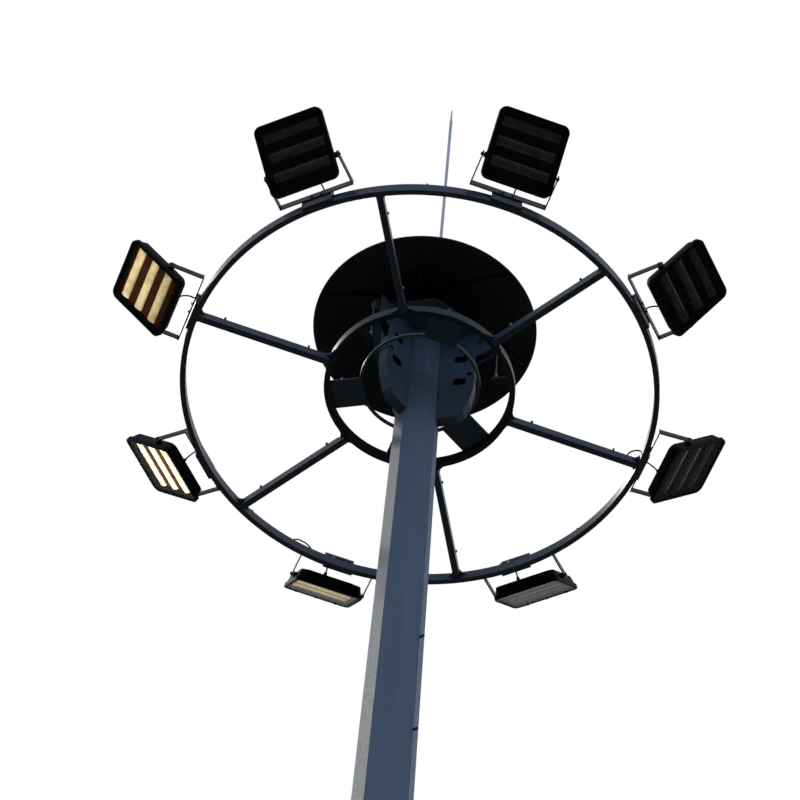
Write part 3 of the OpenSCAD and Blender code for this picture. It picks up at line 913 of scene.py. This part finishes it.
def fit_axle_nuts():
    bm = bmesh.new()
    for rope in range(ROPE_COUNT):
        turn = share_turn(rope, ROPE_COUNT)
        for side in (-1, 1):
            nut_y = side * (CHEEK_HALF + AXLE_NUT_TALL / 2)
            spot = Matrix.Translation((SHEAVE_RADIUS, nut_y, RING_Z + SHEAVE_RISE))
            round_bar(bm, AXLE_NUT, AXLE_NUT_TALL, turn @ spot @ LIE_ALONG_Y, HEX_SIDES)
    soften(bm, FITTING_BEVEL)
    add_piece("axle_nuts", bm, ZINC, "mast")


ROD_RADIUS = 0.009
ROD_TIP = 0.003
COLLAR_RADIUS = 0.024
COLLAR_TALL = 0.060
COLLAR_TAPER = 0.7
POINT_TALL = 0.120
POINT_TAPER = 0.8


def raise_rod():
    low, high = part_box("lightning_rod")
    bm = bmesh.new()
    shaft_tall = high[2] - low[2] - POINT_TALL
    shaft = Matrix.Translation((ROD_OFFSET, 0, low[2] + shaft_tall / 2))
    round_bar(bm, ROD_RADIUS, shaft_tall, shaft, ROD_SIDES)
    point = Matrix.Translation((ROD_OFFSET, 0, high[2] - POINT_TALL / 2))
    round_bar(bm, ROD_RADIUS * POINT_TAPER, POINT_TALL, point, ROD_SIDES, ROD_TIP)
    collar = Matrix.Translation((ROD_OFFSET, 0, low[2] + COLLAR_TALL / 2))
    round_bar(bm, COLLAR_RADIUS, COLLAR_TALL, collar, DISC_SIDES, COLLAR_RADIUS * COLLAR_TAPER)
    soften(bm, SMALL_BEVEL)
    rod = add_piece("lightning_rod_shaft", bm, ROD_STEEL, "mast")
    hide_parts("lightning_rod")


SOCKET_RADIUS = 0.012
SOCKET_TALL = 0.055
SOCKET_TAPER = 0.6


def seat_rope_sockets():
    bm = bmesh.new()
    for rope in range(ROPE_COUNT):
        turn = share_turn(rope, ROPE_COUNT)
        spot = Matrix.Translation((ROPE_RADIUS, 0, RING_Z + ROPE_LOW + SOCKET_TALL / 2))
        round_bar(bm, SOCKET_RADIUS, SOCKET_TALL, turn @ spot, ROD_SIDES, SOCKET_RADIUS * SOCKET_TAPER)
    soften(bm, FITTING_BEVEL)
    add_piece("rope_sockets", bm, ZINC, "carriage")


roll_hood_bead()
fit_axle_nuts()
raise_rod()
seat_rope_sockets()


# Mast pins and door furniture

PIN_DROPS = (2.10, 2.78)
PIN_TURN = radians(-22.5)
PIN_RADIUS = 0.0065
PIN_LONG = 0.034
PIN_CENTRES = (0.138, 0.1445)
HINGE_RADIUS = 0.009
HINGE_LONG = 0.070
HINGE_SPOTS = (0.14, 0.86)
HINGE_PROUD = 0.4
LOCK_RADIUS = 0.017
LOCK_TALL = 0.008
LOCK_INSET = 0.030
LOCK_SPOT = 0.5


def set_mast_pins():
    bm = bmesh.new()
    turn = Matrix.Rotation(PIN_TURN, 4, "Z")
    for drop, centre in zip(PIN_DROPS, PIN_CENTRES):
        spot = Matrix.Translation((centre, 0, RING_Z - drop))
        round_bar(bm, PIN_RADIUS, PIN_LONG, turn @ spot @ LIE_ALONG_X, BAR_SIDES)
    soften(bm, SMALL_BEVEL)
    add_piece("mast_pins", bm, CARRIAGE_PAINT, "mast")


def hang_door_furniture():
    low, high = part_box("access_door")
    tall = high[2] - low[2]
    bm = bmesh.new()
    for share in HINGE_SPOTS:
        hinge = Matrix.Translation((low[0], low[1] - HINGE_RADIUS * HINGE_PROUD, low[2] + tall * share))
        round_bar(bm, HINGE_RADIUS, HINGE_LONG, hinge, BAR_SIDES)
    middle = low[2] + tall * LOCK_SPOT
    lock = Matrix.Translation((high[0] - LOCK_INSET, low[1] - LOCK_TALL / 2, middle)) @ LIE_ALONG_Y
    round_bar(bm, LOCK_RADIUS, LOCK_TALL, lock, DISC_SIDES)
    soften(bm, FITTING_BEVEL)
    add_piece("door_furniture", bm, ZINC, "mast")


set_mast_pins()
hang_door_furniture()


# Hoist ropes as straight lines from the carriage up to the sheaves

def hang_ropes():
    bm = bmesh.new()
    for rope in range(ROPE_COUNT):
        turn = share_turn(rope, ROPE_COUNT)
        middle = Matrix.Translation((ROPE_RADIUS, 0, RING_Z + (ROPE_LOW + ROPE_HIGH) / 2))
        round_bar(bm, ROPE_HALF, ROPE_HIGH - ROPE_LOW, turn @ middle, SMALL_SIDES)
    piece = finish_mesh("hoist_rope_lines", bm, ROPE_STEEL)
    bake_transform(piece)
    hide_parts("hoist_ropes")


hang_ropes()
